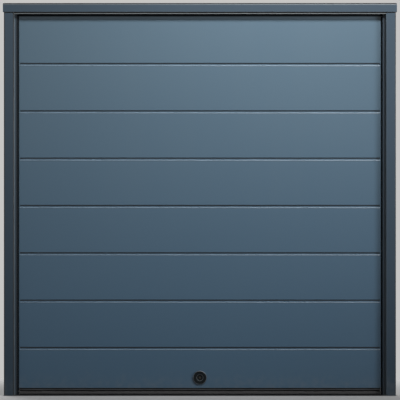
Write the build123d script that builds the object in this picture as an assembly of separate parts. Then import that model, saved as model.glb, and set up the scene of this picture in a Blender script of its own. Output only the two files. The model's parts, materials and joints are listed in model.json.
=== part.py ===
from build123d import *
import os

# Garage door of the one-piece up-and-over kind: a steel frame of two box posts and
# a header, and one plank-clad leaf carried on two lifting arms and two guide rollers.
# Millimetres. X runs to the right seen from outside, Y runs into the garage, Z is up.
# The origin lies on the floor, on the centre line, in the plane of the outer wall face.

# Frame
frame_width = 2355.0
frame_height = 2358.0
post_face = 60.0
post_depth = 60.0
post_wall = 2.0
post_edge_radius = 6.0
lip_width = 18.0
lip_bend_radius = 5.0
lip_setback = 28.0
lip_thickness = 3.0
header_height = 54.0
header_lip_height = 12.0
header_lip_face = 6.0
header_rebate_depth = 12.0
cap_overhang = 6.0
cap_sheet = 2.0
cap_fold_radius = 12.0
cap_corner_radius = 6.0
foot_plate_thickness = 4.0

# Threshold
threshold_height = 3.0
threshold_bolt_radius = 5.0
threshold_bolt_spacing = 600.0
threshold_bolt_count = 4

# Leaf
side_gap = 11.5
top_gap = 10.0
plank_count = 8
first_plank_top = 278.6
top_plank_extra = 9.8
plank_thickness = 18.0
groove_height = 11.5
shoulder_radius = 9.0
tongue_height = 18.0
tongue_front = 6.0
tongue_thickness = 4.0
plank_edge_radius = 1.5
joint_clearance = 0.3
edge_flange = 5.0
tube_depth = 40.0
tube_face = 30.0
rail_face = 40.0
tube_wall = 2.0
muntin_offset = 362.0

# Foot of the leaf
seal_floor_gap = 5.0
seal_height = 17.0
seal_depth = 28.0
seal_neck = 10.0
seal_setback = 1.0
carrier_shadow_gap = 6.0
carrier_nose_height = 6.0
carrier_recess_height = 6.0
carrier_recess_depth = 10.0
carrier_sheet = 3.0
carrier_setback = 2.0

# Guides, arms and rollers
guide_width = 22.0
guide_depth = 40.0
guide_wall = 2.0
guide_rise_past_pivot = 80.0
pivot_drop = 204.0
roller_height = 600.0
arm_width = 40.0
arm_thickness = 8.0
arm_pocket_depth = 5.0
arm_pocket_rim = 4.0
arm_pocket_end = 22.0
arm_leaf_space = 10.0
pin_radius = 8.0
pin_fit = 0.08
pin_boss_radius = 14.0
pin_head_radius = 13.0
pin_head_thickness = 2.5
seat_clearance = 0.3
bracket_plate = 4.0
bracket_lap = 26.0
bracket_corner = 8.0
pivot_plate_height = 120.0
leaf_plate_height = 60.0
leaf_plate_margin = 2.0
roller_play = 0.5
roller_width = 17.0
roller_bevel = 1.0

# Wall fixings
lug_thickness = 4.0
lug_width = 50.0
lug_reach = 110.0
lug_corner = 8.0
lug_hole_radius = 5.5
lug_hole_set_back = 80.0
side_lug_count = 4
side_lug_first = 150.0
side_lug_spacing = 630.0
header_lug_count = 3
header_lug_spacing = 700.0
header_lug_lap = 20.0

# Weather seals on the frame
side_seal_gap = 5.0
side_seal_sweep = 9.0
header_seal_lap = 2.0
frame_seal_thickness = 2.5
frame_seal_base = 9.0

# Lock
lock_height = 106.0
escutcheon_radius = 41.0
escutcheon_thickness = 8.0
escutcheon_edge = 3.0
lock_recess_radius = 20.0
lock_recess_depth = 5.0
plug_radius = 17.0
sleeve_radius = 22.0
keyway_width = 3.0
keyway_length = 12.0
keyway_depth = 6.0
case_width = 90.0
case_depth = 30.0
case_height = 63.0
case_corner = 6.0
rod_radius = 5.0
rod_hole_radius = 7.0
bolt_radius = 7.0
bolt_length = 45.0
bolt_recess = 1.0
keeper_height = 54.0
keeper_hole_radius = 9.0

# Places worked out from the sizes above
half_frame = frame_width / 2
post_inner = half_frame - post_face
lip_inner = post_inner - lip_width
half_leaf = lip_inner - side_gap
header_base = frame_height - header_height
leaf_top = header_base - header_lip_height - top_gap
plank_pitch = (leaf_top - top_plank_extra - first_plank_top) / (plank_count - 1)
lip_front = -post_depth + lip_setback
lip_back = lip_front + lip_thickness
seal_base = threshold_height + seal_floor_gap
seal_top = seal_base + seal_height
carrier_base = seal_top + carrier_shadow_gap
carrier_top = carrier_base + carrier_nose_height + carrier_recess_height
stile_inner = half_leaf - tube_face
guide_line = guide_depth / 2
guide_back = post_inner + guide_width
guide_rear = guide_depth + guide_wall
pivot_height = header_base - pivot_drop
arm_length = (pivot_height - roller_height) / 2
leaf_pivot_height = pivot_height - arm_length
arm_inner = half_leaf + arm_leaf_space
arm_outer = arm_inner + arm_thickness
guide_top = pivot_height + guide_rise_past_pivot
bracket_face = post_inner - bracket_plate
leaf_plate_face = half_leaf + bracket_plate
roller_radius = guide_depth / 2 - roller_play
plug_face = -plank_thickness - escutcheon_thickness + lock_recess_depth


def block(x, y, z):
    """Solid between two limits on each axis."""
    centre = Pos((x[0] + x[1]) / 2, (y[0] + y[1]) / 2, (z[0] + z[1]) / 2)
    return centre * Box(x[1] - x[0], y[1] - y[0], z[1] - z[0])


def rectangle(u, v, radius=0.0):
    """Flat rectangle between two limits on each axis, with rounded corners if asked."""
    centre = Pos((u[0] + u[1]) / 2, (v[0] + v[1]) / 2)
    if radius > 0:
        return centre * RectangleRounded(u[1] - u[0], v[1] - v[0], radius)
    return centre * Rectangle(u[1] - u[0], v[1] - v[0])


def upright(section, z):
    """Plan section raised between two heights."""
    return extrude(Plane.XY.offset(z[0]) * section, z[1] - z[0])


def across(section, x):
    """Side section, drawn as Y and Z, run between two places on X."""
    return extrude(Plane.YZ.offset(x[0]) * section, x[1] - x[0])


def turned(outline):
    """Body of revolution about Z from points of radius and height."""
    face = make_face(Plane.XZ * Polyline(*outline, close=True))
    return revolve(face, Axis.Z)


def turned_on_x(outline, y, z):
    """Turned pin lying along X, its points given as radius and X."""
    return Pos(0, y, z) * Rot(0, 90, 0) * turned(outline)


def turned_outwards(outline, z):
    """Turned piece facing out of the leaf, its points given as radius and distance out."""
    return Pos(0, 0, z) * Rot(90, 0, 0) * turned(outline)


def hole_on_x(radius, x, y, z):
    """Cutter for a round hole along X."""
    length = x[1] - x[0]
    return Pos((x[0] + x[1]) / 2, y, z) * Rot(0, 90, 0) * Cylinder(radius, length)


def left(piece):
    """The left-hand twin of a right-hand piece."""
    return mirror(piece, about=Plane.YZ)


def both_sides(piece):
    """Right-hand piece with its left-hand twin, as solids that don't touch."""
    return [piece, left(piece)]


def box_section(u, v, wall, radius):
    """Closed tube section with rounded outer corners."""
    room = rectangle(
        (u[0] + wall, u[1] - wall),
        (v[0] + wall, v[1] - wall),
        max(radius - wall, 0.0),
    )
    return rectangle(u, v, radius) - room


def post():
    """Roll-formed box post with the closing lip folded out of its inner side."""
    section = box_section((post_inner, half_frame), (-post_depth, 0), post_wall, post_edge_radius)
    section += rectangle((lip_inner, post_inner + post_wall), (lip_front, lip_back))
    section = rounded(section, (post_inner, lip_front), lip_bend_radius)
    return upright(section, (foot_plate_thickness, header_base))


def foot_plate():
    """Flat plate under the post and the guide."""
    return block((post_inner, half_frame), (-post_depth, guide_rear), (0, foot_plate_thickness))


def header_beam():
    """Box beam across the tops of the posts, with a rebated lip along its lower front edge."""
    tube_limits = (header_base, frame_height - cap_sheet)
    tube = box_section((-post_depth, 0), tube_limits, post_wall, post_edge_radius)
    lip_foot = header_base - header_lip_height
    lip_top = lip_foot + header_lip_face
    web = -post_depth + header_rebate_depth
    lip = rectangle((web, web + lip_thickness), (lip_top - lip_thickness, header_base + post_wall))
    lip += rectangle((-post_depth, web + lip_thickness), (lip_top - lip_thickness, lip_top))
    lip += rectangle((-post_depth, -post_depth + lip_thickness), (lip_foot, lip_top))
    return across(tube, (-half_frame, half_frame)) + across(lip, (-post_inner, post_inner))


def cap_form(inset):
    """Outer form of the header cap, set in by a thickness: round fold, round top corners."""
    half_cap = half_frame + cap_overhang - inset
    front = -post_depth - cap_overhang + inset
    top = frame_height - inset
    side = rounded(rectangle((front, 0), (header_base, top)), (front, top), cap_fold_radius - inset)
    face = rectangle(
        (-half_cap, half_cap),
        (header_base - 2 * cap_corner_radius, top),
        cap_corner_radius - inset,
    )
    return across(side, (-half_cap, half_cap)) & extrude(Plane.XZ * face, 2 * post_depth, both=True)


def header_cap():
    """Folded sheet cover over the header, with a drip fold along its lower edge."""
    half_fold = half_frame + cap_overhang - cap_sheet
    fold = block(
        (-half_fold, half_fold),
        (-post_depth - cap_overhang + cap_sheet, -post_depth),
        (header_base, header_base + cap_sheet),
    )
    return cap_form(0) - cap_form(cap_sheet) + fold


def guide_web():
    """Side of the roller guide, welded to the post's back away from the leaf."""
    section = rectangle((guide_back - guide_wall, guide_back), (0, guide_rear))
    return upright(section, (foot_plate_thickness, guide_top))


def guide_rail():
    """Rear face of the roller guide; the roller runs between it and the post's back."""
    section = rectangle((post_inner, guide_back - guide_wall), (guide_depth, guide_rear))
    return upright(section, (foot_plate_thickness, guide_top))


def bracket_blank(middle, height):
    """Plate on the post's inner side that also closes the mouth of the guide."""
    outline = rectangle(
        (-bracket_lap, guide_rear),
        (middle - height / 2, middle + height / 2),
        bracket_corner,
    )
    return across(outline, (bracket_face, post_inner))


def pivot_bracket():
    """Plate beside the guide with the fixed pin that the lifting arm hangs on."""
    seat = arm_outer + seat_clearance
    head = arm_inner - seat_clearance
    pin = turned_on_x(
        [
            (0, bracket_face + bracket_plate / 2),
            (pin_boss_radius, bracket_face + bracket_plate / 2),
            (pin_boss_radius, seat),
            (pin_radius, seat),
            (pin_radius, head),
            (pin_head_radius, head),
            (pin_head_radius, head - pin_head_thickness),
            (0, head - pin_head_thickness),
        ],
        guide_line,
        pivot_height,
    )
    return bracket_blank(pivot_height, pivot_plate_height) + pin


def side_lugs():
    """Straps behind one post that are bolted to the side of the wall opening."""
    lugs = []
    for index in range(side_lug_count):
        height = side_lug_first + index * side_lug_spacing
        strap = block(
            (guide_back, guide_back + lug_thickness),
            (0, lug_reach),
            (height - lug_width / 2, height + lug_width / 2),
        )
        strap = fillet(strap.edges().filter_by(Axis.X).sort_by(Axis.Y)[-2:], lug_corner)
        hole_reach = (guide_back - 1, guide_back + lug_thickness + 1)
        lugs.append(strap - hole_on_x(lug_hole_radius, hole_reach, lug_hole_set_back, height))
    return lugs


def header_lugs():
    """Straps under the header that are bolted to the underside of the lintel."""
    lugs = []
    first = -(header_lug_count - 1) / 2 * header_lug_spacing
    for index in range(header_lug_count):
        place = first + index * header_lug_spacing
        strap = block(
            (place - lug_width / 2, place + lug_width / 2),
            (-header_lug_lap, lug_reach),
            (header_base - lug_thickness, header_base),
        )
        strap = fillet(strap.edges().filter_by(Axis.Z).sort_by(Axis.Y)[-2:], lug_corner)
        hole = Pos(place, lug_hole_set_back, header_base) * Cylinder(lug_hole_radius, 4 * lug_thickness)
        lugs.append(strap - hole)
    return lugs


def threshold_bar():
    """Flat bar across the floor that ties the feet of the posts."""
    bar = block((-post_inner, post_inner), (-post_depth, guide_rear), (0, threshold_height))
    first = -(threshold_bolt_count - 1) / 2 * threshold_bolt_spacing
    middle = (guide_rear - post_depth) / 2
    for index in range(threshold_bolt_count):
        place = first + index * threshold_bolt_spacing
        bar -= Pos(place, middle, 0) * Cylinder(threshold_bolt_radius, 4 * threshold_height)
    return bar


def keeper():
    """Striker plate beside the guide that the latch bolt shoots into."""
    reach = (bracket_face - bracket_plate, post_inner + bracket_plate)
    hole = hole_on_x(keeper_hole_radius, reach, guide_line, lock_height)
    return bracket_blank(lock_height, keeper_height) - hole


def side_seal():
    """Rubber seal behind the post's lip, with a fin swept back towards the leaf's edge."""
    base_edge = lip_inner + frame_seal_base
    fin_root = lip_inner + frame_seal_thickness
    fin_tip = half_leaf + side_seal_gap
    seal_back = lip_back + frame_seal_thickness
    fin_back = lip_back + side_seal_sweep
    outline = Polyline(
        (lip_inner, lip_back),
        (base_edge, lip_back),
        (base_edge, seal_back),
        (fin_root + frame_seal_thickness, seal_back),
        (fin_tip + frame_seal_thickness, fin_back),
        (fin_tip, fin_back),
        (fin_root, seal_back),
        (lip_inner, seal_back),
        close=True,
    )
    return upright(make_face(outline), (threshold_height, header_base - frame_seal_thickness))


def header_seal():
    """Rubber seal under the header, its blade hanging just in front of the leaf's top edge."""
    blade_back = lip_back + frame_seal_thickness
    section = rectangle((lip_back, blade_back), (leaf_top - header_seal_lap, header_base))
    section += rectangle(
        (lip_back, lip_back + frame_seal_base),
        (header_base - frame_seal_thickness, header_base),
    )
    return across(section, (-lip_inner, lip_inner))


def plank_section(base, top, has_groove, has_tongue):
    """Side section of one plank: rounded upper shoulder, tongue above and groove below."""
    front = -plank_thickness
    tongue_face = front + tongue_front
    tongue_back = tongue_face + tongue_thickness
    shoulder = shoulder_radius if has_tongue else plank_edge_radius
    section = rounded(rectangle((front, 0), (base, top)), (front, top), shoulder)
    if has_tongue:
        section += rectangle(
            (tongue_face, tongue_back),
            (top - shoulder_radius, top + tongue_height),
        )
    if has_groove:
        skin_foot = base + groove_height
        slot_front = tongue_face - joint_clearance
        slot_back = tongue_back + joint_clearance
        section -= rectangle((front, 0), (base, base + joint_clearance))
        section -= rectangle((front, slot_front), (base, skin_foot))
        section -= rectangle((slot_front, slot_back), (base, base + tongue_height + joint_clearance))
        section = rounded(section, (front, skin_foot), plank_edge_radius)
    return section


def rounded(section, corner, radius):
    """The flat section with its corner nearest to the given point rounded."""
    nearest = section.vertices().sort_by_distance((corner[0], corner[1], 0))[0]
    return fillet(nearest, radius)


def plank(number):
    """One plank of the cladding, counted from the foot of the leaf."""
    lowest = number == 1
    highest = number == plank_count
    joint_above = first_plank_top + (number - 1) * plank_pitch
    base = carrier_top if lowest else joint_above - plank_pitch
    top = leaf_top if highest else joint_above
    section = plank_section(base, top, not lowest, not highest)
    half_length = half_leaf - edge_flange - joint_clearance
    board = across(section, (-half_length, half_length))
    if lowest:
        opening = Cylinder(sleeve_radius + joint_clearance, 4 * plank_thickness)
        board -= Pos(0, 0, lock_height) * Rot(90, 0, 0) * opening
    return board


def stile():
    """Side tube of the leaf's frame with the flange that covers the plank ends."""
    section = box_section((stile_inner, half_leaf), (0, tube_depth), tube_wall, tube_wall / 2)
    flange = rectangle((half_leaf - edge_flange, half_leaf), (-plank_thickness, tube_wall))
    section += rounded(flange, (half_leaf, -plank_thickness), plank_edge_radius)
    tube = upright(section, (carrier_top, leaf_top))
    tube += block((stile_inner, half_leaf), (0, tube_depth), (leaf_top - tube_wall, leaf_top))
    reach = (stile_inner - tube_face, half_leaf + tube_face)
    return tube - hole_on_x(bolt_radius + joint_clearance, reach, guide_line, lock_height)


def rail(x, base, face):
    """Level tube of the leaf's frame between two places on X."""
    section = box_section((0, tube_depth), (base, base + face), tube_wall, tube_wall / 2)
    return across(section, x)


def muntin():
    """Upright tube behind the planks, with a hole that the latch rod passes through."""
    section = box_section(
        (muntin_offset - tube_face / 2, muntin_offset + tube_face / 2),
        (0, tube_depth),
        tube_wall,
        tube_wall / 2,
    )
    tube = upright(section, (carrier_top + rail_face, leaf_top - rail_face))
    reach = (muntin_offset - tube_face, muntin_offset + tube_face)
    return tube - hole_on_x(rod_hole_radius, reach, guide_line, lock_height)


def cross_rails(height):
    """Level tubes at one height: between the stiles and the muntins, and between those."""
    base = height - tube_face / 2
    inner = muntin_offset - tube_face / 2
    outer = rail((muntin_offset + tube_face / 2, stile_inner), base, tube_face)
    return [rail((-inner, inner), base, tube_face)] + both_sides(outer)


def seal_carrier():
    """Extruded channel under the leaf, open downwards, with a nose under a shadow recess."""
    front = -plank_thickness + carrier_setback
    leg = front + carrier_recess_depth
    section = rectangle((leg, tube_depth), (carrier_base, carrier_top))
    section -= rectangle(
        (leg + carrier_sheet, tube_depth - carrier_sheet),
        (carrier_base, carrier_top - carrier_sheet),
    )
    section += rectangle(
        (front, leg + carrier_sheet),
        (carrier_base, carrier_base + carrier_nose_height),
    )
    return across(section, (-half_leaf, half_leaf))


def foot_seal():
    """Rubber seal under the leaf: a rounded bulb with a neck up into its carrier."""
    nose_front = -plank_thickness + carrier_setback
    front = nose_front + seal_setback
    bulb = rectangle((front, front + seal_depth), (seal_base, seal_top), seal_height / 3)
    neck_front = nose_front + carrier_recess_depth + carrier_sheet + joint_clearance
    neck = rectangle(
        (neck_front, neck_front + seal_neck),
        (seal_top - seal_height / 2, carrier_top - carrier_sheet),
    )
    return across(bulb + neck, (-half_leaf, half_leaf))


def escutcheon():
    """Domed round lock rose with a sunk centre and a sleeve through the plank."""
    rose_face = plank_thickness + escutcheon_thickness
    return turned_outwards(
        [
            (plug_radius + pin_fit, joint_clearance),
            (sleeve_radius, joint_clearance),
            (sleeve_radius, plank_thickness),
            (escutcheon_radius, plank_thickness),
            (escutcheon_radius, rose_face - escutcheon_edge),
            (escutcheon_radius - escutcheon_edge, rose_face),
            (lock_recess_radius, rose_face),
            (lock_recess_radius, rose_face - lock_recess_depth),
            (plug_radius + pin_fit, rose_face - lock_recess_depth),
        ],
        lock_height,
    )


def lock_plug():
    """Turning centre of the lock, with its keyway."""
    plug = turned_outwards(
        [(0, seat_clearance), (plug_radius, seat_clearance), (plug_radius, -plug_face), (0, -plug_face)],
        lock_height,
    )
    keyway = block(
        (-keyway_width / 2, keyway_width / 2),
        (plug_face - 1, plug_face + keyway_depth),
        (lock_height - keyway_length / 2, lock_height + keyway_length / 2),
    )
    return plug - keyway


def lock_case():
    """Closed gear case behind the lock, standing on the bottom rail."""
    case = block(
        (-case_width / 2, case_width / 2),
        (0, case_depth),
        (carrier_top + rail_face, carrier_top + rail_face + case_height),
    )
    return fillet(case.edges().filter_by(Axis.Z).sort_by(Axis.Y)[-2:], case_corner)


def latch_rod():
    """Round rod from the lock case towards one side."""
    end = half_leaf - bolt_recess - bolt_length
    return hole_on_x(rod_radius, (case_width / 2, end), guide_line, lock_height)


def latch_bolt():
    """Latch bolt in the stile, drawn back inside the leaf's edge."""
    end = half_leaf - bolt_recess
    return hole_on_x(bolt_radius, (end - bolt_length, end), guide_line, lock_height)


def leaf_plate(height):
    """Plate on the edge of the leaf that a pin or a spindle stands on."""
    return block(
        (half_leaf, leaf_plate_face),
        (leaf_plate_margin, tube_depth - leaf_plate_margin),
        (height - leaf_plate_height / 2, height + leaf_plate_height / 2),
    )


def arm_pin():
    """Pin on the edge of the leaf that the lifting arm turns on."""
    seat = arm_inner - seat_clearance
    head = arm_outer + seat_clearance
    return turned_on_x(
        [
            (0, leaf_plate_face),
            (pin_boss_radius, leaf_plate_face),
            (pin_boss_radius, seat),
            (pin_radius, seat),
            (pin_radius, head),
            (pin_head_radius, head),
            (pin_head_radius, head + pin_head_thickness),
            (0, head + pin_head_thickness),
        ],
        guide_line,
        leaf_pivot_height,
    )


def roller_spindle():
    """Spindle on the edge of the leaf that reaches into the guide."""
    end = guide_back - guide_wall - roller_play
    return hole_on_x(pin_radius, (leaf_plate_face, end), guide_line, roller_height)


def roller():
    """Nylon roller on the spindle, with bevelled edges, running in the guide."""
    middle = (post_inner + guide_back - guide_wall) / 2
    half = roller_width / 2
    crown = roller_bevel
    return turned_on_x(
        [
            (pin_radius + pin_fit, middle - half),
            (roller_radius - crown, middle - half),
            (roller_radius, middle - half + crown),
            (roller_radius, middle + half - crown),
            (roller_radius - crown, middle + half),
            (pin_radius + pin_fit, middle + half),
        ],
        guide_line,
        roller_height,
    )


def lifting_arm():
    """Forged arm with round ends, a pin hole in each, and a long pocket facing the leaf."""
    middle = (pivot_height + leaf_pivot_height) / 2
    outline = SlotCenterToCenter(arm_length, arm_width)
    blade = across(Pos(guide_line, middle) * Rot(0, 0, 90) * outline, (arm_inner, arm_outer))
    hollow = rectangle(
        (guide_line - arm_width / 2 + arm_pocket_rim, guide_line + arm_width / 2 - arm_pocket_rim),
        (leaf_pivot_height + arm_pocket_end, pivot_height - arm_pocket_end),
        arm_pocket_rim,
    )
    blade -= across(hollow, (arm_inner, arm_inner + arm_pocket_depth))
    reach = (arm_inner - arm_thickness, arm_outer + arm_thickness)
    for height in (pivot_height, leaf_pivot_height):
        blade -= hole_on_x(pin_radius + pin_fit, reach, guide_line, height)
    return blade


nodes = {
    "left_post": left(post()),
    "right_post": post(),
    "header_beam": header_beam(),
    "header_cap": header_cap(),
    "left_guide_web": left(guide_web()),
    "right_guide_web": guide_web(),
    "left_guide_rail": left(guide_rail()),
    "right_guide_rail": guide_rail(),
    "pivot_brackets": both_sides(pivot_bracket()),
    "side_lugs": side_lugs() + [left(lug) for lug in side_lugs()],
    "header_lugs": header_lugs(),
    "foot_plates": both_sides(foot_plate()),
    "threshold_bar": threshold_bar(),
    "keepers": both_sides(keeper()),
    "side_seals": both_sides(side_seal()),
    "header_seal": header_seal(),
    "left_stile": left(stile()),
    "right_stile": stile(),
    "top_rail": rail((-stile_inner, stile_inner), leaf_top - rail_face, rail_face),
    "bottom_rail": rail((-stile_inner, stile_inner), carrier_top, rail_face),
    "muntins": both_sides(muntin()),
    "roller_cross_rails": cross_rails(roller_height),
    "arm_cross_rails": cross_rails(leaf_pivot_height),
    "seal_carrier": seal_carrier(),
    "foot_seal": foot_seal(),
    "escutcheon": escutcheon(),
    "lock_plug": lock_plug(),
    "lock_case": lock_case(),
    "latch_rods": both_sides(latch_rod()),
    "latch_bolts": both_sides(latch_bolt()),
    "leaf_plates": both_sides(leaf_plate(roller_height)) + both_sides(leaf_plate(leaf_pivot_height)),
    "arm_pins": both_sides(arm_pin()),
    "roller_spindles": both_sides(roller_spindle()),
    "rollers": both_sides(roller()),
    "left_arm": left(lifting_arm()),
    "right_arm": lifting_arm(),
}
for number in range(1, plank_count + 1):
    nodes[f"plank_{number}"] = plank(number)

os.makedirs("parts", exist_ok=True)
for name, shape in nodes.items():
    if isinstance(shape, list):
        shape = Compound([solid for piece in shape for solid in piece.solids()])
    export_step(shape, f"parts/{name}.step")
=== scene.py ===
import json
from math import pi, radians

import bmesh
import bpy
from mathutils import Matrix, Vector


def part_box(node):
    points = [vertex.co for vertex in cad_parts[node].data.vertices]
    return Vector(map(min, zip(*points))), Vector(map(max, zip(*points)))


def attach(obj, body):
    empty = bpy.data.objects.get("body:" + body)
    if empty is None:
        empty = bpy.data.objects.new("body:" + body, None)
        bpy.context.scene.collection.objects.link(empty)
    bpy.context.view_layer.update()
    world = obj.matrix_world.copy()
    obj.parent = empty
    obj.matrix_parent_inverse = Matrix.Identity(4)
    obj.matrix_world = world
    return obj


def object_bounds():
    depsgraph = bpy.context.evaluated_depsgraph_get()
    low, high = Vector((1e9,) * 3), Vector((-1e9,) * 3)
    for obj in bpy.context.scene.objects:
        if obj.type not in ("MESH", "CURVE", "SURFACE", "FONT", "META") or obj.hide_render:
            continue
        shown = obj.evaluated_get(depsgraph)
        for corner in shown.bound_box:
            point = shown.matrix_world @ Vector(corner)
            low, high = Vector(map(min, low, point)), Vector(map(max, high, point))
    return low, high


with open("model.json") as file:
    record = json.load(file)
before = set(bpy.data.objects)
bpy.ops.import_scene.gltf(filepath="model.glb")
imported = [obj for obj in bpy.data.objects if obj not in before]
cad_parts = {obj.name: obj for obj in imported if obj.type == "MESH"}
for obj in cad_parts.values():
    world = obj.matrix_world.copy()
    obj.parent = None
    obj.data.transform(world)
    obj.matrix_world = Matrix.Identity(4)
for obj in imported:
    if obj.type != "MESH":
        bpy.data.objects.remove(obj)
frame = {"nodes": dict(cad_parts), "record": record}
cad_low, cad_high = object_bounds()

# Posts, header and foot plates: roll-formed steel box posts with a closing lip folded out
# towards the leaf, under a box header with a folded cover. They are welded up and powder
# coated dark blue-grey in a satin finish, with a fine orange-peel skin.


class Tone:
    """One output of a shader node, with the sums that the finishes are written in."""

    def __init__(self, finish, socket):
        self.finish = finish
        self.socket = socket

    def sum(self, operation, first, second):
        return self.finish.node("ShaderNodeMath", {"operation": operation}, {0: first, 1: second})

    def __add__(self, other):
        return self.sum("ADD", self, other)

    def __radd__(self, other):
        return self.sum("ADD", other, self)

    def __sub__(self, other):
        return self.sum("SUBTRACT", self, other)

    def __rsub__(self, other):
        return self.sum("SUBTRACT", other, self)

    def __mul__(self, other):
        return self.sum("MULTIPLY", self, other)

    def __rmul__(self, other):
        return self.sum("MULTIPLY", other, self)

    def __mod__(self, other):
        return self.sum("FLOORED_MODULO", self, other)

    def __abs__(self):
        return self.sum("ABSOLUTE", self, 0.0)

    def larger(self, other):
        return self.sum("MAXIMUM", self, other)


class Nodes:
    """The shader nodes of a material or a world as they are added and linked."""

    def __init__(self, owner):
        owner.use_nodes = True
        self.tree = owner.node_tree

    def feed(self, socket, value):
        if isinstance(value, Tone):
            self.tree.links.new(value.socket, socket)
        elif isinstance(value, tuple) and socket.type == "RGBA":
            socket.default_value = (*value, 1.0)
        else:
            socket.default_value = value

    def node(self, kind, settings=None, values=None, output=0):
        made = self.tree.nodes.new(kind)
        for name, value in (settings or {}).items():
            setattr(made, name, value)
        for name, value in (values or {}).items():
            self.feed(made.inputs[name], value)
        return Tone(self, made.outputs[output])


class Finish(Nodes):
    """A surface finish as it is mixed, in one material."""

    def __init__(self, name):
        self.material = bpy.data.materials.new(name)
        super().__init__(self.material)
        self.shader = self.tree.nodes["Principled BSDF"]
        self.place = self.node("ShaderNodeTexCoord", output="Object")

    def set(self, **values):
        for name, value in values.items():
            self.feed(self.shader.inputs[name.replace("_", " ")], value)

    def noise(self, scale, detail=2.0, stretch=(1.0, 1.0, 1.0), rough=0.5):
        """Soft cloud of values from 0 to 1; scale is in clouds a metre."""
        spread = self.node("ShaderNodeMapping", {}, {"Vector": self.place, "Scale": stretch})
        return self.node(
            "ShaderNodeTexNoise",
            {"noise_dimensions": "3D"},
            {"Vector": spread, "Scale": scale, "Detail": detail, "Roughness": rough},
        )

    def between(self, value, low, high):
        """0 below low, 1 above high, and a smooth step from one to the other."""
        return self.node(
            "ShaderNodeMapRange",
            {"interpolation_type": "SMOOTHSTEP"},
            {"Value": value, "From Min": low, "From Max": high},
        )

    def band(self, value, rise, fall):
        """0, then 1 from the end of rise to the start of fall, then 0 again."""
        return self.between(value, *rise) * (1.0 - self.between(value, *fall))

    def colours(self, share, first, second):
        """The first colour where share is 0, and the second where it is 1."""
        colour_sockets = {0: share, 6: first, 7: second}
        return self.node("ShaderNodeMix", {"data_type": "RGBA"}, colour_sockets, 2)

    def along(self, axis):
        """Distance from the door's origin along one axis, in metres."""
        return self.node("ShaderNodeSeparateXYZ", {}, {"Vector": self.place}, axis)

    def bump(self, tone, depth, strength=1.0, under=None):
        """Surface relief; depth is in metres."""
        values = {"Height": tone, "Strength": strength, "Distance": depth}
        if under is not None:
            values["Normal"] = under
        return self.node("ShaderNodeBump", {}, values)


def coat(names, material):
    """Puts a finish on CAD nodes."""
    for name in names:
        slots = frame["nodes"][name].data.materials
        slots.clear()
        slots.append(material)


ORANGE_PEEL = 620.0
ORANGE_PEEL_DEPTH = 0.00004
DUST = (0.20, 0.19, 0.17)
DUST_SHARE = 0.22
SPLASH_HEIGHT = 0.28
# Near-black for sealant and joint lines, and for painted shade.
GRIME_AND_SHADE = (0.004, 0.005, 0.006)


def powder_coat(name, colour, top_colour, shine, marks=()):
    """Satin powder coat: orange-peel skin, paler and greyer towards the top, road dust low down."""
    finish = Finish(name)
    clouds = finish.noise(1.6, 3.0)
    rain = finish.noise(14.0, 4.0, (1.0, 1.0, 0.06), 0.6)
    skin = finish.noise(ORANGE_PEEL, 2.0)
    height = finish.along("Z")
    # The colour shifts with height to a paler, greyer one at the top.
    top_share = finish.between(height, 0.0, cad_high.z) * 0.85 + (clouds + rain) * 0.12
    paint = finish.colours(top_share, colour, top_colour)
    splash = (1.0 - finish.between(height, 0.0, SPLASH_HEIGHT)) * finish.noise(38.0, 5.0)
    dusty = finish.between(splash, 0.22, 0.9) * DUST_SHARE
    paint = finish.colours(dusty, paint, DUST)
    for mark, tint in marks:
        paint = finish.colours(mark(finish), paint, tint)
    finish.set(
        Base_Color=paint,
        Roughness=0.40 + clouds * 0.05 + rain * 0.05 + dusty * 0.5,
        Normal=finish.bump(skin, ORANGE_PEEL_DEPTH),
        Specular_IOR_Level=shine,
    )
    return finish.material


beam_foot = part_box("header_beam")[0].z
cap_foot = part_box("header_cap")[0].z
post_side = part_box("right_post")[1].x
post_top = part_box("right_post")[1].z
POST_LIP = 0.018
post_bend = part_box("right_post")[0].x + POST_LIP

# Each pair holds where a mark fades in or out, in metres from the edge that it follows.
TOP_LINE = (-0.0064, -0.0052)
TOP_HIGHLIGHT_RISE = (-0.0122, -0.0112)
TOP_HIGHLIGHT_FALL = (-0.0076, -0.0066)
CAP_UNDERFOLD = (0.0006, 0.0014)
BEAM_UNDERSIDE = (0.0004, 0.0012)
BEAM_LIP_TOP = (0.0054, 0.0060)
RECESS_RISE = (0.0048, 0.0056)
RECESS_FALL = (0.0120, 0.0125)
WALL_EDGE = (-0.0064, -0.0046)
POST_HEAD = (-0.0060, -0.0048)


def top_line(finish):
    """Dark line of water stain and old sealant along the top of the cap."""
    ragged = finish.noise(60.0, 3.0, (1.0, 0.0, 0.0)) * 0.0016
    return finish.between(finish.along("Z") + ragged - cad_high.z, *TOP_LINE) * 0.95


def top_painted_highlight(finish):
    """Painted highlight: a pale band along the bend at the top of the cap's face."""
    return finish.band(finish.along("Z") - cad_high.z, TOP_HIGHLIGHT_RISE, TOP_HIGHLIGHT_FALL) * 0.5


def fold_shade(finish):
    """Painted shade along the underfold of the cap."""
    return 1.0 - finish.between(finish.along("Z") - cap_foot, *CAP_UNDERFOLD)


def recess_painted_shade(finish):
    """Painted shade in the recess between the cap and the lip under the header, and on the beam's
    lowest edge.
    """
    height = finish.along("Z") - beam_foot
    underside = 1.0 - finish.between(height, *BEAM_UNDERSIDE)
    return finish.band(height, RECESS_RISE, RECESS_FALL) + underside


def lip_painted_highlight(finish):
    """Painted highlight: the lip under the header painted pale."""
    return (1.0 - finish.between(finish.along("Z") - beam_foot, *BEAM_LIP_TOP)) * 0.9


def outer_edge_painted_shade(finish):
    """Painted shade down the outer edge of each post, and under the cap."""
    edge = finish.between(abs(finish.along("X")) - post_side, *WALL_EDGE) * 0.85
    under = finish.between(finish.along("Z") - post_top, *POST_HEAD)
    return edge + under * (1.0 - edge)


STRIP_EDGE = 0.0004


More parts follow.
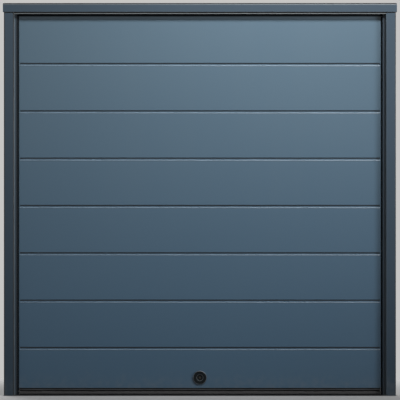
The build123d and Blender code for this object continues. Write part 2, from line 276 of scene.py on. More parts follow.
def upright_strip(finish, low, high):
    """1 between two places on X, in metres, with soft edges."""
    rise = (low - STRIP_EDGE, low + STRIP_EDGE)
    return finish.band(finish.along("X"), rise, (high - STRIP_EDGE, high + STRIP_EDGE))


def bend_painted_shade(finish):
    """Painted shade on the left post's bend, and in the corner of each lip."""
    left_bend = upright_strip(finish, -post_bend - 0.0056, -post_bend + 0.0008) * 0.88
    left_corner = upright_strip(finish, -post_bend + 0.0110, -post_bend + 0.0180) * 0.75
    right_corner = upright_strip(finish, post_bend - 0.0130, post_bend - 0.0062) * 0.80
    return left_bend + left_corner + right_corner


def bend_painted_highlight(finish):
    """Painted highlight, paler on the left lip's root and on the right post's bend."""
    left_root = upright_strip(finish, -post_bend + 0.0012, -post_bend + 0.0068) * 0.80
    return left_root + upright_strip(finish, post_bend - 0.0050, post_bend + 0.0056) * 0.90


FRAME_PAINT = (0.024, 0.044, 0.066)
FRAME_PAINT_TOP = (0.032, 0.051, 0.071)
FRAME_SHINE = 0.34
# Pale tint for the painted highlights on the cap's bend and the header's lip.
HIGHLIGHT_PALE = (0.110, 0.118, 0.122)
BEND_HIGHLIGHT = (0.066, 0.088, 0.108)
frame_coat = (FRAME_PAINT, FRAME_PAINT_TOP, FRAME_SHINE)
coat(["foot_plates"], powder_coat("foot_powder_coat", *frame_coat))
post_marks = [(bend_painted_highlight, BEND_HIGHLIGHT), (bend_painted_shade, GRIME_AND_SHADE), (outer_edge_painted_shade, GRIME_AND_SHADE)]
coat(["left_post", "right_post"], powder_coat("frame_powder_coat", *frame_coat, post_marks))
cap_marks = [(top_painted_highlight, HIGHLIGHT_PALE), (top_line, GRIME_AND_SHADE), (fold_shade, GRIME_AND_SHADE)]
coat(["header_cap"], powder_coat("cap_powder_coat", *frame_coat, cap_marks))
beam_marks = [(lip_painted_highlight, HIGHLIGHT_PALE), (recess_painted_shade, GRIME_AND_SHADE)]
coat(["header_beam"], powder_coat("beam_powder_coat", *frame_coat, beam_marks))

# Roller guides, brackets, keepers and wall lugs: plain steel strip and plate, hot-dip
# galvanised after forming, so that the zinc shows its frosted spangle. The guides stand
# on the posts' backs, and the lugs beside them, all held by short welds.
SPANGLE = 95.0
ZINC = (0.44, 0.46, 0.47)
ZINC_DULL = (0.32, 0.34, 0.35)
GREASE = (0.10, 0.092, 0.080)


def galvanised(name, grime=0.0):
    """Dull zinc with a spangle of crystals, white bloom and, on a runner, dark grease."""
    finish = Finish(name)
    warp = finish.noise(60.0, 2.0)
    crystals = finish.node(
        "ShaderNodeTexVoronoi",
        {"feature": "F1"},
        {"Vector": finish.place, "Scale": SPANGLE, "Randomness": 1.0},
        "Color",
    )
    facet = finish.node("ShaderNodeSeparateColor", {}, {"Color": crystals}, "Red")
    bloom = finish.between(finish.noise(9.0, 5.0, rough=0.65), 0.42, 0.72)
    tone = finish.colours(facet * 0.7 + bloom * 0.3, ZINC, ZINC_DULL)
    greasy = finish.between(finish.noise(22.0, 4.0, (1.0, 1.0, 0.25)), 0.34, 0.72) * grime
    finish.set(
        Base_Color=finish.colours(greasy, tone, GREASE),
        Metallic=0.90 - bloom * 0.25 - greasy * 0.4,
        Roughness=0.40 + facet * 0.16 + bloom * 0.16 - greasy * 0.10,
        Normal=finish.bump(warp, 0.00006),
    )
    return finish.material


zinc = galvanised("galvanised_zinc")
greased_zinc = galvanised("greased_zinc", 0.60)
coat(["pivot_brackets", "keepers", "side_lugs", "header_lugs"], zinc)
coat([f"{side}_guide_{part}" for side in ("left", "right") for part in ("web", "rail")], greased_zinc)

UP = Vector((0, 0, 1))
OUTWARDS = (0, -1, 0)
INWARDS = (0, 1, 0)


def finished(name, mesh, body, material):
    """The mesh as a piece of the door: its finish, and the body that it moves with."""
    bmesh.ops.remove_doubles(mesh, verts=mesh.verts, dist=0.00001)
    bmesh.ops.recalc_face_normals(mesh, faces=mesh.faces)
    for face in mesh.faces:
        face.smooth = True
    for edge in mesh.edges:
        edge.smooth = edge.calc_face_angle(0) < radians(32)
    data = bpy.data.meshes.new(name)
    mesh.to_mesh(data)
    mesh.free()
    data.materials.append(material)
    piece = bpy.data.objects.new(name, data)
    bpy.context.scene.collection.objects.link(piece)
    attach(piece, body)


def put(mesh, model, place, towards=UP):
    """Adds a small model to a mesh, with the model's own Z turned towards a direction."""
    swing = UP.rotation_difference(Vector(towards)).to_matrix().to_4x4()
    bmesh.ops.transform(model, matrix=Matrix.Translation(place) @ swing, verts=model.verts)
    copy = bpy.data.meshes.new("copy")
    model.to_mesh(copy)
    model.free()
    mesh.from_mesh(copy)
    bpy.data.meshes.remove(copy)


def turned(mesh, profile, place, towards, steps=24):
    """A turned piece from points of radius and distance along its axis."""
    model = bmesh.new()
    points = [model.verts.new((radius, 0, along)) for radius, along in profile]
    edges = [model.edges.new(pair) for pair in zip(points, points[1:])]
    bmesh.ops.spin(
        model, geom=points + edges, cent=(0, 0, 0), axis=UP, dvec=(0, 0, 0),
        angle=2 * pi, steps=steps, use_merge=True, use_duplicate=False,
    )
    put(mesh, model, place, towards)


def drawn(mesh, section, run):
    """A flat section of points drawn out along a run."""
    model = bmesh.new()
    face = model.faces.new([model.verts.new(point) for point in section])
    grown = bmesh.ops.extrude_face_region(model, geom=[face])["geom"]
    far = [item for item in grown if isinstance(item, bmesh.types.BMVert)]
    bmesh.ops.translate(model, vec=run, verts=far)
    put(mesh, model, (0, 0, 0))


WELD_RADIUS = 0.0022
WELD_PITCH = 0.0035


def weld(mesh, start, end, radius=WELD_RADIUS):
    """A rippled weld bead along a line: one ring of metal after another."""
    run = Vector(end) - Vector(start)
    count = max(4, round(run.length / WELD_PITCH) * 2)
    model = bmesh.new()
    bmesh.ops.create_circle(model, cap_ends=True, radius=radius * 0.5, segments=8)
    cap = model.faces[:]
    for index in range(count):
        grown = bmesh.ops.extrude_face_region(model, geom=cap)["geom"]
        if index > 0:
            bmesh.ops.delete(model, geom=cap, context="FACES_ONLY")
        cap = [item for item in grown if isinstance(item, bmesh.types.BMFace)]
        ring = [item for item in grown if isinstance(item, bmesh.types.BMVert)]
        bmesh.ops.translate(model, vec=UP * run.length / count, verts=ring)
        size = {0: 1.8, count - 1: 0.6}.get(index, 0.86 if index % 2 else 1 / 0.86)
        bmesh.ops.scale(model, vec=(size, size, 1), verts=ring)
    put(mesh, model, start, run)


def mirrored(mesh):
    """Adds the left-hand twin of all that is in the mesh."""
    bmesh.ops.mirror(mesh, geom=mesh.verts[:] + mesh.edges[:] + mesh.faces[:], axis="X", merge_dist=-1)


# Welds on the frame: short beads along the guide webs and round the pivot brackets and
# keepers, brushed and cold galvanised.
GUIDE_WELD = 0.04
GUIDE_WELD_START = 0.03
GUIDE_WELD_SPACING = 0.31
GUIDE_WELD_PROUD = 0.0008
PLATE_WELD = (-0.022, -0.004)
PLATE_WELD_RADIUS = 0.0016


def cold_zinc():
    """Zinc-rich paint brushed over a weld: dull, a little streaky."""
    finish = Finish("cold_zinc_paint")
    streak = finish.noise(150.0, 3.0, (1.0, 1.0, 0.3))
    finish.set(
        Base_Color=finish.colours(streak, (0.24, 0.25, 0.25), (0.36, 0.37, 0.37)),
        Metallic=0.35,
        Roughness=0.55 + streak * 0.2,
        Normal=finish.bump(streak, 0.00008),
    )
    return finish.material


weld_zinc = cold_zinc()
web_low, web_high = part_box("right_guide_web")
lug_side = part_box("side_lugs")[1].x
bracket_low, bracket_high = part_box("pivot_brackets")
keeper_low, keeper_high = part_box("keepers")

beads = bmesh.new()
spots = int((web_high.z - web_low.z) / GUIDE_WELD_SPACING)
for index in range(spots + 1):
    foot = web_low.z + GUIDE_WELD_START + index * GUIDE_WELD_SPACING
    head = foot + GUIDE_WELD
    if head < web_high.z:
        weld(beads, (web_high.x, GUIDE_WELD_PROUD, foot), (web_high.x, GUIDE_WELD_PROUD, head))
near, far = PLATE_WELD
for low, high in ((bracket_low, bracket_high), (keeper_low, keeper_high)):
    for z in (low.z, high.z):
        weld(beads, (high.x, near, z), (high.x, far, z), PLATE_WELD_RADIUS)
mirrored(beads)
finished("frame_welds", beads, "frame", weld_zinc)

# Wall and floor anchors: zinc-plated M10 hexagon bolts with washers, through the side
# lugs into the reveal, through the header lugs into the lintel, and countersunk screws
# through the threshold bar into the floor.
HEAD_ACROSS = 0.0098
HEAD_HIGH = 0.0064
WASHER = 0.0105
WASHER_THICK = 0.002
HEAD_CHAMFER = 0.0009
SHANK = 0.0049
SHANK_POINT = 0.002
SIDE_REACH = 0.03
HEADER_REACH = 0.04


def plated_steel():
    """Bright zinc plating with a faint yellow pass and turned rings."""
    finish = Finish("plated_steel")
    tint = finish.noise(70.0, 3.0)
    finish.set(
        Base_Color=finish.colours(tint, (0.62, 0.62, 0.60), (0.50, 0.48, 0.41)),
        Metallic=1.0,
        Roughness=0.24 + tint * 0.18,
        Normal=finish.bump(finish.noise(900.0, 1.0), 0.00002),
    )
    return finish.material


plated = plated_steel()


def anchor(mesh, place, inwards, reach):
    """Hexagon head and washer on a plate's face, with a shank through to the wall."""
    washer = [(0, 0), (WASHER, 0), (WASHER, WASHER_THICK * 0.7), (WASHER * 0.96, WASHER_THICK)]
    turned(mesh, washer + [(0, WASHER_THICK)], place, inwards)
    head = bmesh.new()
    bmesh.ops.create_cone(
        head, cap_ends=True, segments=6, radius1=HEAD_ACROSS, radius2=HEAD_ACROSS, depth=HEAD_HIGH
    )
    rim = [edge for edge in head.edges if min(vert.co.z for vert in edge.verts) > 0]
    bmesh.ops.bevel(
        head, geom=rim, offset=HEAD_CHAMFER, offset_type="OFFSET", segments=2, profile=0.5,
        affect="EDGES", material=-1,
    )
    bmesh.ops.translate(head, vec=UP * (WASHER_THICK + HEAD_HIGH / 2), verts=head.verts)
    put(mesh, head, place, inwards)
    shank = [(0, 0.001), (SHANK, 0.001), (SHANK, -reach + SHANK_POINT)]
    turned(mesh, shank + [(SHANK * 0.7, -reach), (0, -reach)], place, inwards, 16)


def countersunk(mesh, place, radius):
    """Countersunk screw head with a hexagon socket, let into a level face."""
    socket = radius * 0.46
    sink = -radius * 0.42
    head = [(0, sink), (socket, sink), (socket * 1.08, 0), (radius, 0), (radius, sink * 0.2)]
    turned(mesh, head + [(radius * 0.6, sink * 1.2), (0, sink * 1.2)], place, UP)


record_mounts = {mount["name"]: mount for mount in frame["record"]["mounts"]}


def holes(name, key):
    """Distances from the middle of a mount's two holes, in metres."""
    spacing = record_mounts[name]["dims"][key] / 1000
    return (-spacing / 2, spacing / 2)


LUG_THICK = 0.004
anchors = bmesh.new()
for name in ("right_lug_outer_bolts", "right_lug_inner_bolts"):
    x, y, z = record_mounts[name]["pos_m"]
    for up in holes(name, "spacing_y_mm"):
        anchor(anchors, (lug_side - LUG_THICK, y, z + up), (-1, 0, 0), SIDE_REACH)
mirrored(anchors)
x, y, z = record_mounts["header_lug_outer_bolts"]["pos_m"]
for along in (*holes("header_lug_outer_bolts", "spacing_x_mm"), 0.0):
    anchor(anchors, (along, y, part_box("header_lugs")[0].z), (0, 0, -1), HEADER_REACH)
finished("wall_anchors", anchors, "frame", plated)

SCREW_RADIUS = 0.0049
SCREW_SUNK = 0.0002


def bitumen_paint():
    """Matt black bitumen paint, scuffed grey where feet and wheels cross it."""
    finish = Finish("bitumen_paint")
    scuff = finish.between(finish.noise(24.0, 6.0, (0.5, 1.0, 1.0), 0.7), 0.50, 0.75)
    finish.set(
        Base_Color=finish.colours(scuff * 0.5, (0.010, 0.011, 0.013), (0.055, 0.054, 0.052)),
        Roughness=0.60 + scuff * 0.2,
        Normal=finish.bump(finish.noise(300.0, 3.0), 0.00008),
        Specular_IOR_Level=0.25,
    )
    return finish.material


screws = bmesh.new()
for name in ("threshold_outer_bolts", "threshold_inner_bolts"):
    x, y, z = record_mounts[name]["pos_m"]
    for along in holes(name, "spacing_x_mm"):
        countersunk(screws, (along, y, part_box("threshold_bar")[1].z - SCREW_SUNK), SCREW_RADIUS)
finished("threshold_screws", screws, "frame", plated)
coat(["threshold_bar"], bitumen_paint())

# Weather seals: black extruded rubber strips clipped behind the posts and the header.
# Each side strip has a thin lip that closes the last of the gap to the leaf's edge.
LIP_CLEARANCE = 0.00002
LIP_ROOT = 0.0020
LIP_TIP = 0.0007
LIP_SWEEP = 0.0030


def rubber(name, colour, dust, shine, pale_top=0.0):
    """Matt black rubber with extrusion lines and pale dust; below pale_top it is paler: dust, and
    painted light.
    """
    finish = Finish(name)
    lines = finish.noise(900.0, 1.0, (1.0, 1.0, 0.01))
    film = finish.between(finish.noise(30.0, 5.0), 0.35, 0.8) * dust
    tone = finish.colours(film, colour, (0.075, 0.076, 0.078))
    if pale_top:
        low = 1.0 - finish.between(finish.along("Z"), pale_top - 0.003, pale_top)
        tone = finish.colours(low, tone, (0.16, 0.16, 0.162))
    finish.set(
        Base_Color=tone,
        Roughness=0.66 + film * 0.4,
        Normal=finish.bump(lines, 0.00003),
        Specular_IOR_Level=shine,
    )
    return finish.material


seal_rubber = rubber("seal_rubber", (0.0028, 0.0045, 0.0065), 0.02, 0.05)
coat(["side_seals", "header_seal"], seal_rubber)
seal_low, seal_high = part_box("side_seals")
stile_low, stile_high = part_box("right_stile")
right_seal = [v.co.x for v in frame["nodes"]["side_seals"].data.vertices if v.co.x > 0]
blade_root = min(right_seal)

blade = [
    (blade_root, seal_high.y),
    (blade_root + LIP_ROOT, seal_high.y),
    (stile_high.x + LIP_CLEARANCE + LIP_TIP, seal_high.y + LIP_SWEEP),
    (stile_high.x + LIP_CLEARANCE, seal_high.y + LIP_SWEEP),
]
lips = bmesh.new()
drawn(lips, [(x, y, seal_low.z) for x, y in blade], UP * (seal_high.z - seal_low.z))
mirrored(lips)
finished("side_seal_lips", lips, "frame", seal_rubber)

# Leaf: eight boards of steel-faced foam with rounded upper shoulders, set edge in edge,
# in a frame of square tubes. Boards and frame have the same steel-blue satin coat.
planks = sorted(name for name in frame["nodes"] if name.startswith("plank_"))
first_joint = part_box("plank_1")[1].z
plank_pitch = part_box("plank_2")[1].z - first_joint
leaf_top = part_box("plank_8")[1].z
leaf_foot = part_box("plank_1")[0].z
TONGUE_HEIGHT = 0.018
SHOULDER = 0.009
SHOULDER_DROP = 0.0015
shoulder_foot = first_joint - TONGUE_HEIGHT - SHOULDER - SHOULDER_DROP

# Heights above the foot of a tongue or a shoulder, and depths from the wall's plane, over
# which a mark fades in or out.
GROOVE_FOOT = (0.0032, 0.0052)
GROOVE_TOP = (0.020, 0.021)
TONGUE_FACE = (-0.0145, -0.0135)
TONGUE_BACK = (-0.0075, -0.0065)
SHOULDER_SHADE_RISE = (0.0, 0.0020)
SHOULDER_SHADE_FALL = (0.0045, 0.0060)
SHOULDER_SHADE_BACK = (-0.016, -0.015)
CREST_RISE = (0.0055, 0.0065)
CREST_FALL = (0.0092, 0.0102)
CREST_BACK = (-0.0135, -0.0125)
JOINT_TOP = (0.0014, 0.0024)
PLANK_BACK_RISE = (-0.0030, -0.0020)
PLANK_BACK_FALL = (0.0003, 0.0008)
TOP_SHADE_SPAN = (-0.032, 0.0)
FOOT_SHADE_SPAN = (0.0010, 0.0020)


def above_joint(finish, foot):
    """Height above the same place on each plank, from 0 to the planks' pitch."""
    return (finish.along("Z") - foot) % plank_pitch


def groove_painted_shade(finish):
    """Painted shade in each groove, tight under the edge of the plank above."""
    rise = above_joint(finish, first_joint - TONGUE_HEIGHT)
    depth = finish.band(finish.along("Y"), TONGUE_FACE, TONGUE_BACK)
    return finish.band(rise, GROOVE_FOOT, GROOVE_TOP) * depth


def shoulder_foot_painted_shade(finish):
    """Painted shade at the foot of each rounded shoulder."""
    # film holds the band of painted shade.
    film = finish.band(above_joint(finish, shoulder_foot), SHOULDER_SHADE_RISE, SHOULDER_SHADE_FALL)
    return film * (1.0 - finish.between(finish.along("Y"), *SHOULDER_SHADE_BACK)) * 0.40


def shoulder_painted_highlight(finish):
    """Painted highlight: a paler band along the crest of each shoulder."""
    crest = finish.band(above_joint(finish, shoulder_foot), CREST_RISE, CREST_FALL)
    return crest * (1.0 - finish.between(finish.along("Y"), *CREST_BACK)) * 0.75


def back_joint(finish):
    """Dark hairline where two boards meet on the back of the leaf."""
    joint = 1.0 - finish.between(above_joint(finish, first_joint - TONGUE_HEIGHT), *JOINT_TOP)
    return joint * finish.band(finish.along("Y"), PLANK_BACK_RISE, PLANK_BACK_FALL) * 0.85


def top_and_foot_painted_shade(finish):
    """Painted shade on the leaf's top under the header, and along its lowest edge."""
    height = finish.along("Z")
    under_header = finish.between(height - leaf_top, *TOP_SHADE_SPAN) * 0.6
    return under_header + (1.0 - finish.between(height - leaf_foot, *FOOT_SHADE_SPAN)) * 0.9


LEAF_PAINT = (0.037, 0.088, 0.146)
LEAF_PAINT_TOP = (0.057, 0.099, 0.135)
LEAF_SHINE = 0.62
SHOULDER_HIGHLIGHT = (0.145, 0.205, 0.265)
PAINTED_GROOVE_SHADE = (0.0030, 0.0110, 0.0200)
leaf_marks = [(mark, PAINTED_GROOVE_SHADE) for mark in (shoulder_foot_painted_shade, groove_painted_shade)]
leaf_marks += [(mark, GRIME_AND_SHADE) for mark in (top_and_foot_painted_shade, back_joint)]
leaf_marks.append((shoulder_painted_highlight, SHOULDER_HIGHLIGHT))
leaf_paint = powder_coat("leaf_powder_coat", LEAF_PAINT, LEAF_PAINT_TOP, LEAF_SHINE, leaf_marks)
tubes = ["left_stile", "right_stile", "top_rail", "bottom_rail", "muntins"]
cross = ["roller_cross_rails", "arm_cross_rails"]
coat(planks + tubes + cross, leaf_paint)

# Hole plugs and corner welds on the back of the leaf: the screws that hold the boards go
# in through the back of each upright tube, and each hole is closed with a domed black
# plastic plug. The tube corners are welded and painted over.
PLUG_RADIUS = 0.0068
PLUG_DOME = 0.0012
PLUG_SHARES = (0.30, 0.72)


def moulded_plastic():
    """Black moulded plastic with a faint grain."""
    finish = Finish("black_plastic")
    grain = finish.noise(1300.0, 2.0)
    finish.set(
        Base_Color=finish.colours(grain, (0.018, 0.018, 0.019), (0.03, 0.03, 0.031)),
        Roughness=0.38 + grain * 0.2,
        Normal=finish.bump(grain, 0.00003),
    )
    return finish.material


black_plastic = moulded_plastic()
muntin = [v.co.x for v in frame["nodes"]["muntins"].data.vertices if v.co.x > 0]
uprights = ((stile_low.x + stile_high.x) / 2, (min(muntin) + max(muntin)) / 2)
tube_back = stile_high.y
plugs = bmesh.new()
for plank in planks:
    low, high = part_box(plank)
    for across in uprights:
        for share in PLUG_SHARES:
            dome = [(0, PLUG_DOME), (PLUG_RADIUS * 0.6, PLUG_DOME * 0.8), (PLUG_RADIUS, 0), (0, 0)]
            turned(plugs, dome, (across, tube_back, low.z + (high.z - low.z) * share), INWARDS, 16)
mirrored(plugs)
finished("tube_hole_plugs", plugs, "leaf", black_plastic)

JOINT_WELD = 0.0014
WELD_STOP = 0.003
TUBE_CORNER = 0.004


def upright_weld(mesh, x, rail):
    """Bead down the back of a joint, as long as the rail is wide."""
    low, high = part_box(rail)
    foot = (x, tube_back, low.z + WELD_STOP)
    weld(mesh, foot, (x, tube_back, high.z - WELD_STOP), JOINT_WELD)


joints = bmesh.new()
for rail in ("top_rail", "bottom_rail"):
    upright_weld(joints, stile_low.x, rail)
    low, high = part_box(rail)
    edge = low.z if rail == "top_rail" else high.z
    for x in (min(muntin), max(muntin)):
        weld(joints, (x, TUBE_CORNER, edge), (x, tube_back - TUBE_CORNER, edge), JOINT_WELD)
for rail in cross:
    for x in (stile_low.x, min(muntin), max(muntin)):
        upright_weld(joints, x, rail)
mirrored(joints)
finished("leaf_frame_welds", joints, "leaf", leaf_paint)

# Foot of the leaf: an extruded aluminium carrier gone dull, and a rubber bulb pushed up
# into it, whose wiper lip comes down close to the threshold bar when the door is shut.
NOSE_FOOT = (0.0326, 0.0340)
NOSE_TOP = (0.0368, 0.0372)


def dull_aluminium():
    """Mill aluminium gone dull, with fine drawing lines, painted near-black as shade everywhere but on
    the nose.
    """
    finish = Finish("dull_aluminium")
    lines = finish.noise(1100.0, 1.0, (0.01, 1.0, 1.0))
    film = finish.between(finish.noise(11.0, 5.0, rough=0.65), 0.35, 0.75)
    nose = finish.band(finish.along("Z"), NOSE_FOOT, NOSE_TOP)
    tone = finish.colours(film, (0.085, 0.088, 0.092), (0.050, 0.052, 0.054))
    finish.set(
        # Off the nose band the carrier is painted near-black: painted shade in its recess and below.
        Base_Color=finish.colours(nose, GRIME_AND_SHADE, tone),
        Metallic=0.35,
        Roughness=0.46 + film * 0.22,
        Normal=finish.bump(lines, 0.00003),
    )
    return finish.material


coat(["seal_carrier"], dull_aluminium())
# Below this height the bulb is painted paler: floor dust, and painted light on its lower curve, which
# faces down into shade.
BULB_PALE_TOP = 0.0155
foot_rubber = rubber("foot_seal_rubber", (0.048, 0.047, 0.048), 0.75, 0.15, BULB_PALE_TOP)
coat(["foot_seal"], foot_rubber)
WIPER_IN_BULB = 0.003
WIPER_CLEARANCE = 0.0004
WIPER_SET_BACK = 0.011
WIPER_ROOT = 0.004
WIPER_SWEEP = 0.0012
WIPER_TIP = 0.0022
bulb_low, bulb_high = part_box("foot_seal")
wiper_top = bulb_low.z + WIPER_IN_BULB
wiper_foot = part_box("threshold_bar")[1].z + WIPER_CLEARANCE
wiper_back = bulb_low.y + WIPER_SET_BACK
section = [
    (wiper_back - WIPER_ROOT, wiper_top),
    (wiper_back, wiper_top),
    (wiper_back - WIPER_SWEEP, wiper_foot),
    (wiper_back - WIPER_TIP, wiper_foot),
]
wiper = bmesh.new()
drawn(wiper, [(bulb_low.x, y, z) for y, z in section], (bulb_high.x - bulb_low.x, 0, 0))
finished("foot_seal_wiper", wiper, "leaf", seal_rubber)

# Lock: a round die-cast rose in black satin, a turning plug with a keyway behind a small
# tarnished shutter, and on the inside a zinc-plated gear case with a lid of four screws.


def black_satin():
    """Black lacquer over die-cast metal, rubbed a little paler by keys."""
    finish = Finish("black_satin_lacquer")
    cloud = finish.noise(45.0, 4.0)
    scuff = finish.between(finish.noise(420.0, 3.0, (1.0, 1.0, 0.3)), 0.62, 0.8) * 0.35
    finish.set(
        Base_Color=finish.colours(scuff, (0.0035, 0.0058, 0.0070), (0.020, 0.021, 0.022)),
        Roughness=0.36 + cloud * 0.14 + scuff * 0.3,
        Normal=finish.bump(cloud, 0.00004),
        Specular_IOR_Level=0.16,
    )
    return finish.material


black_lock = black_satin()
coat(["escutcheon", "lock_plug"], black_lock)
plug_low, plug_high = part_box("lock_plug")
lock_z = (plug_low.z + plug_high.z) / 2
plug_face = plug_low.y


def tarnished_brass():
    """Old brass: brown, with brighter rubbed spots."""
    finish = Finish("tarnished_brass")
    rubbed = finish.between(finish.noise(260.0, 4.0), 0.4, 0.7)
    finish.set(
        Base_Color=finish.colours(rubbed, (0.030, 0.027, 0.023), (0.072, 0.063, 0.052)),
        Metallic=0.8,
        Roughness=0.42 + rubbed * 0.1,
        Normal=finish.bump(rubbed, 0.00003),
    )
    return finish.material


SHUTTER_RADIUS = 0.0068
SHUTTER_PROUD = 0.0009
SHUTTER_DISH = 0.0005
SHUTTER_SUNK = 0.001
shutter = bmesh.new()
rim = SHUTTER_RADIUS
dish = [(0, SHUTTER_DISH), (rim * 0.7, SHUTTER_DISH), (rim * 0.85, SHUTTER_PROUD)]
edge = [(rim, SHUTTER_PROUD * 0.7), (rim, -SHUTTER_SUNK), (0, -SHUTTER_SUNK)]
turned(shutter, dish + edge, (0, plug_face, lock_z), OUTWARDS, 32)
finished("keyhole_shutter", shutter, "lock_cylinder", tarnished_brass())


def rubbed_steel_and_highlight():
    """Black lacquer rubbed through to bright steel, with a pale painted highlight at the top of the
    rim.
    """
    finish = Finish("rubbed_steel_and_highlight")
    worn = finish.between(finish.noise(190.0, 3.0), 0.35, 0.65)
    side = finish.along("X") * 0.35 + finish.along("Z")
    # The top of the rim, leaning a little to the right, is painted pale and less metallic as a
    # highlight.
    top = finish.between(side, lock_z + HIGHLIGHT_FOOT, lock_z + HIGHLIGHT_FULL)
    steel = finish.colours(worn, (0.085, 0.096, 0.108), (0.150, 0.163, 0.177))
    finish.set(
        Base_Color=finish.colours(top, steel, (0.300, 0.315, 0.335)),
        Metallic=0.85 - top * 0.60,
        Roughness=0.31 + worn * 0.06,
        Normal=finish.bump(worn, 0.00002),
    )
    return finish.material


ROLL = 0.0019
HIGHLIGHT_FOOT = 0.029
HIGHLIGHT_FULL = 0.038
RECESS_RADIUS = 0.020
COLLAR_EDGE = 0.0008
COLLAR_PROUD = 0.00005
PLUG_GAP = 0.0006
rose_low, rose_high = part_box("escutcheon")
rose_radius = (rose_high.x - rose_low.x) / 2
roll = bmesh.new()
bmesh.ops.create_circle(roll, cap_ends=False, radius=ROLL, segments=12)
ring = [(rose_radius - ROLL + vert.co.x, vert.co.y - ROLL) for vert in roll.verts]
roll.free()
rims = bmesh.new()
rose_middle = (0, rose_low.y, lock_z)
turned(rims, ring + ring[:1], rose_middle, OUTWARDS, 64)
bore = (plug_high.x - plug_low.x) / 2 + PLUG_GAP
sunk = plug_face - rose_low.y
collar = RECESS_RADIUS + COLLAR_EDGE
mouth = [(collar, COLLAR_PROUD), (RECESS_RADIUS - 0.0002, COLLAR_PROUD)]
wall = [(RECESS_RADIUS - 0.0014, -0.0006), (bore + 0.0004, -0.0020), (bore, -0.0036), (bore, -sunk)]
turned(rims, mouth + wall + [(collar, -sunk), mouth[0]], rose_middle, OUTWARDS, 48)
finished("rose_rims", rims, "leaf", rubbed_steel_and_highlight())

coat(["lock_case", "latch_rods", "latch_bolts"], galvanised("plated_lock_case", 0.15))
case_low, case_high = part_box("lock_case")
LID_MARGIN = 0.011
LID_SCREW = [(0, 0.0011), (0.0012, 0.0011), (0.0012, 0.0023), (0.0030, 0.0018), (0.0038, 0)]
lid = bmesh.new()
for x in (case_low.x + LID_MARGIN, case_high.x - LID_MARGIN):
    for z in (case_low.z + LID_MARGIN, case_high.z - LID_MARGIN):
        turned(lid, LID_SCREW, (x, case_high.y, z), INWARDS, 16)
finished("lock_case_screws", lid, "leaf", plated)

# Lifting arms and their pins: flat galvanised arms on turned steel pins, each held by a
# spring ring outside its head, and rollers of off-white nylon on plain spindles.
coat(["left_arm", "right_arm"], galvanised("arm_zinc", 0.2))
coat(["leaf_plates"], zinc)


def worn_steel():
    """Turned steel, oiled, with fine rings round its axis."""
    finish = Finish("turned_steel")
    rings = finish.noise(1500.0, 1.0, (1.0, 0.05, 0.05))
    oil = finish.between(finish.noise(55.0, 3.0), 0.45, 0.7)
    finish.set(
        Base_Color=finish.colours(oil, (0.42, 0.42, 0.42), (0.22, 0.20, 0.17)),
        Metallic=1.0,
        Roughness=0.28 + oil * 0.1,
        Normal=finish.bump(rings, 0.00002),
    )
    return finish.material


coat(["arm_pins", "roller_spindles"], worn_steel())


def nylon():
    """Off-white nylon, greyed by grease on its tread."""
    finish = Finish("roller_nylon")
    smear = finish.between(finish.noise(130.0, 4.0), 0.4, 0.75) * 0.5
    finish.set(
        Base_Color=finish.colours(smear, (0.62, 0.60, 0.54), (0.24, 0.23, 0.20)),
        Roughness=0.42 + smear * 0.2,
        Normal=finish.bump(finish.noise(800.0, 2.0), 0.00003),
        Subsurface_Weight=0.08,
    )
    return finish.material


coat(["rollers"], nylon())

# Studio: a pale round of floor that fades into the background, two soft lamps on the
# right in front, one high and one low, a wide one behind, and a long lens square on.
BACKDROP = (0.565, 0.560, 0.552)
SKY = (0.92, 0.97, 1.0)
SKY_LEVEL = 0.09
FLOOR_RADIUS = 3.2
FLOOR_FADE = 1.4
FLOOR_GLOW = 0.12
FLOOR_RIM_GLOW = 0.20
GLOW_SPREAD = (1.2, 2.7)
LINE_FRONT = (-0.060, -0.045)
LINE_BACK = (0.0, 0.02)
LINE_LEFT = (-0.004, 0.010)
LINE_RIGHT = (-0.010, 0.004)
door_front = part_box("header_cap")[0].y


def pale_floor():
    """Pale screed with a painted contact shadow along the door, which fades into the background; to
    the camera it also glows, more towards its rim.
    """
    finish = Finish("pale_floor")
    cloud = finish.noise(3.0, 5.0)
    screed = finish.colours(cloud, (0.275, 0.275, 0.278), (0.305, 0.305, 0.305))
    front = [door_front + edge for edge in LINE_FRONT]
    left = [cad_low.x + edge for edge in LINE_LEFT]
    right = [cad_high.x + edge for edge in LINE_RIGHT]
    # The dark band along the door's front is painted shadow.
    line = finish.band(finish.along("Y"), front, LINE_BACK)
    line = line * finish.band(finish.along("X"), left, right)
    finish.set(Base_Color=finish.colours(line * 0.95, screed, (0.03, 0.03, 0.031)), Roughness=0.8)
    away = finish.node("ShaderNodeVectorMath", {"operation": "LENGTH"}, {0: finish.place}, "Value")
    # The floor glows for the camera, paler towards its rim, which lifts its shade.
    paler = FLOOR_GLOW + finish.between(away, *GLOW_SPREAD) * FLOOR_RIM_GLOW
    seen = finish.node("ShaderNodeLightPath", output="Is Camera Ray")
    glow = finish.node(
        "ShaderNodeEmission",
        {},
        {"Color": (1.0, 1.0, 1.0), "Strength": seen * (1.0 - line * 0.97) * paler},
    )
    lit = finish.node("ShaderNodeAddShader", {}, {0: Tone(finish, finish.shader.outputs[0]), 1: glow})
    fade = finish.between(away, FLOOR_RADIUS - FLOOR_FADE, FLOOR_RADIUS - 0.1)
    clear = finish.node("ShaderNodeBsdfTransparent")
    surface = finish.node("ShaderNodeMixShader", {}, {0: fade, 1: lit, 2: clear})
    finish.feed(finish.tree.nodes["Material Output"].inputs["Surface"], surface)
    return finish.material


ground = bmesh.new()
bmesh.ops.create_circle(ground, cap_ends=True, radius=FLOOR_RADIUS, segments=96)
bmesh.ops.recalc_face_normals(ground, faces=ground.faces)
floor_mesh = bpy.data.meshes.new("floor")
ground.to_mesh(floor_mesh)
ground.free()
floor_mesh.materials.append(pale_floor())
floor = bpy.data.objects.new("floor", floor_mesh)
bpy.context.scene.collection.objects.link(floor)


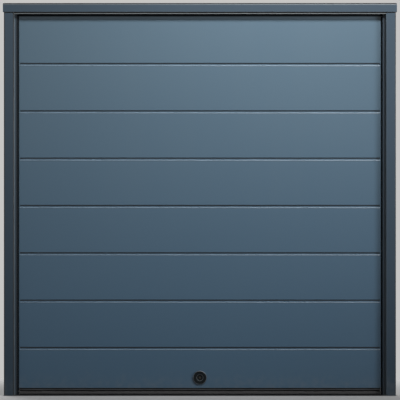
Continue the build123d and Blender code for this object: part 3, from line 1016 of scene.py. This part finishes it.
def backdrop():
    """A world that is pale to the camera and in reflections, and a dim cool sky to the rest."""
    world = bpy.data.worlds.new("studio")
    studio = Nodes(world)
    studio.tree.nodes.remove(studio.tree.nodes["Background"])
    sky = studio.node("ShaderNodeBackground", {}, {"Color": SKY, "Strength": SKY_LEVEL})
    pale = studio.node("ShaderNodeBackground", {}, {"Color": BACKDROP})
    camera_ray = studio.node("ShaderNodeLightPath", output="Is Camera Ray")
    glossy_ray = studio.node("ShaderNodeLightPath", output="Is Glossy Ray")
    clear_ray = studio.node("ShaderNodeLightPath", output="Is Transmission Ray")
    direct = camera_ray.larger(glossy_ray).larger(clear_ray)
    surface = studio.node("ShaderNodeMixShader", {}, {0: direct, 1: sky, 2: pale})
    studio.feed(studio.tree.nodes["World Output"].inputs["Surface"], surface)
    return world


bpy.context.scene.world = backdrop()


def lamp(name, place, target, size, power, spread):
    """A square soft lamp, turned towards a place."""
    light = bpy.data.lights.new(name, "AREA")
    light.size = size
    light.energy = power
    light.spread = radians(spread)
    holder = bpy.data.objects.new(name, light)
    aim = Vector(target) - Vector(place)
    holder.matrix_world = Matrix.Translation(place) @ aim.to_track_quat("-Z", "Y").to_matrix().to_4x4()
    bpy.context.scene.collection.objects.link(holder)


lamp("key_lamp", (2.1, -3.7, 5.9), (0.35, 0.0, 3.3), 1.1, 79.0, 60.0)
lamp("side_lamp", (4.4, -2.3, 1.6), (0.0, 0.0, 2.1), 1.0, 41.0, 90.0)
lamp("back_lamp", (-3.0, 6.0, 6.6), (0.0, 0.0, 1.2), 2.5, 125.0, 120.0)

MM_PER_PIXEL = 6.005
PICTURE = 400
CENTRE_COLUMN = 199.9
FLOOR_ROW = 395.6
LENS_DISTANCE = 25.0
SENSOR = 36.0
lens = bpy.data.cameras.new("camera")
lens.sensor_width = SENSOR
lens.lens = SENSOR * LENS_DISTANCE / (MM_PER_PIXEL * PICTURE / 1000)
lens.clip_end = 200.0
camera = bpy.data.objects.new("camera", lens)
across = (PICTURE / 2 - CENTRE_COLUMN) * MM_PER_PIXEL / 1000
height = (FLOOR_ROW - PICTURE / 2) * MM_PER_PIXEL / 1000
stand = Matrix.Translation((across, door_front - LENS_DISTANCE, height))
camera.matrix_world = stand @ Matrix.Rotation(pi / 2, 4, "X")
bpy.context.scene.collection.objects.link(camera)
bpy.context.scene.camera = camera
bpy.context.scene.view_settings.view_transform = "Standard"
